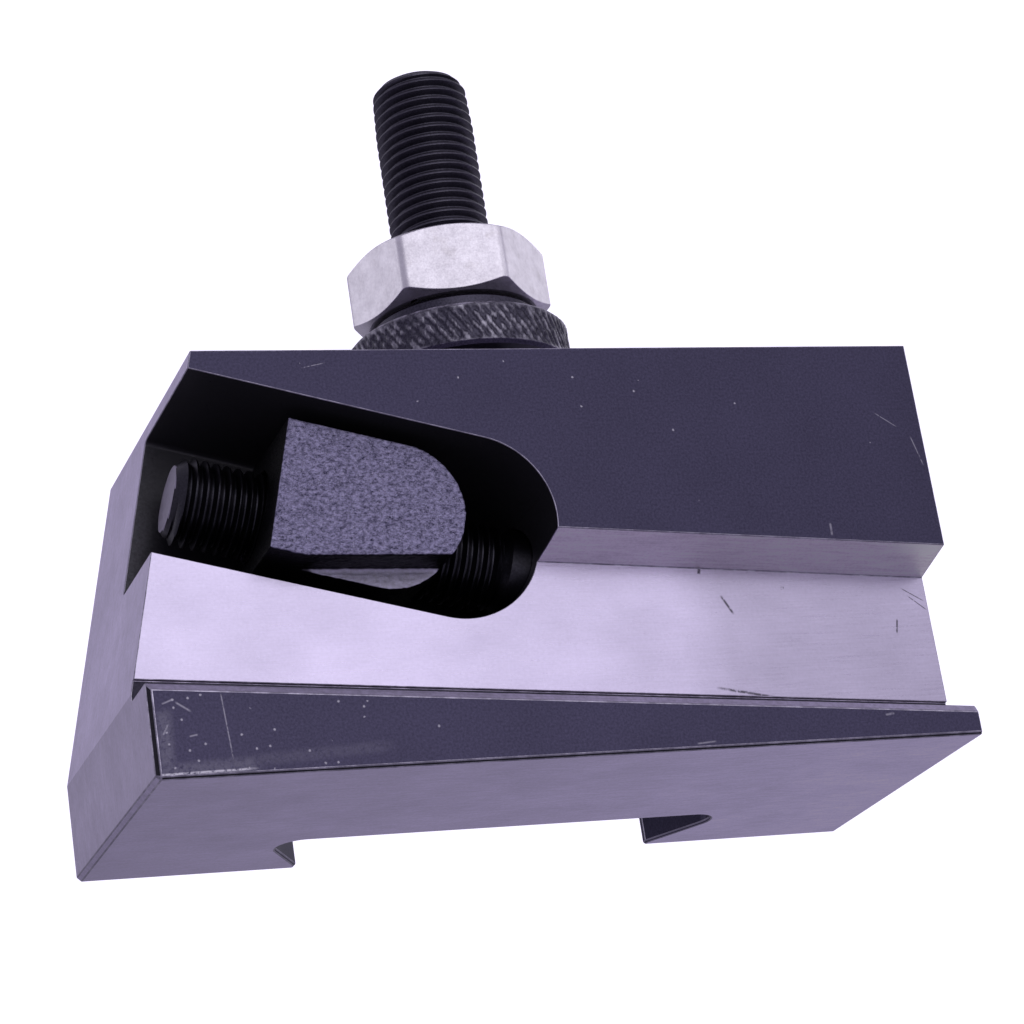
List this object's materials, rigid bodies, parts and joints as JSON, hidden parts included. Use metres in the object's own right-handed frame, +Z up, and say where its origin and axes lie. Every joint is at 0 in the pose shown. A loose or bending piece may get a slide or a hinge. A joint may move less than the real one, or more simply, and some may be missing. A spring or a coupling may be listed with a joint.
{
  "type": "quick change cut-off blade holder",
  "caption": "Dovetail tool holder for a lathe's quick change tool post, with a tilted blade slot, a screw-drawn clamp block and a height stud with knurled and hexagon nuts.",
  "frame": {"origin": "centre of the bottom face, under the height stud", "axes": "+Z up along the height stud, +Y towards the dovetail back, +X along the length, away from the cutting end"},
  "size_m": [0.0762, 0.033, 0.0729],
  "materials": {
    "ground_steel": "ground bright faces beside black oxide faces",
    "black_stud_steel": "black oxide on a cut thread",
    "black_nut_steel": "black oxide, knurl crests worn bright",
    "zinc_plate": "satin bright zinc",
    "blasted_steel": "blasted grain",
    "black_screw_steel": "oiled black oxide"
  },
  "bodies": {
    "holder": {"holder_body": "ground_steel", "height_stud": "black_stud_steel"},
    "thumb_nut": {"thumb_nut": "black_nut_steel"},
    "lock_nut": {"lock_nut": "zinc_plate"},
    "clamp_screw": {"clamp_screw": "black_screw_steel"},
    "clamp_wedge": {"clamp_wedge": "blasted_steel"}
  },
  "joints": [
    {"name": "thumb_nut_travel", "type": "slide", "parent": "holder", "child": "thumb_nut", "axis": [0, 0, 1], "range_m": [-0.003, 0.01]},
    {"name": "lock_nut_travel", "type": "slide", "parent": "thumb_nut", "child": "lock_nut", "axis": [0, 0, 1], "range_m": [0, 0.007]},
    {"name": "clamp_screw_turn", "type": "hinge", "parent": "holder", "child": "clamp_screw", "pos_m": [-0.0071, -0.00545, 0.0222], "axis": [0.9668, 0, -0.2554], "range_deg": [-2645, 2835]},
    {"name": "clamp_wedge_slide", "type": "slide", "parent": "holder", "child": "clamp_wedge", "axis": [0.9668, 0, -0.2554], "range_m": [-0.008, 0.0075]}
  ],
  "couplings": [
    {"joint": "clamp_wedge_slide", "follows": "clamp_screw_turn", "m_per_rad": -0.00015915}
  ]
}
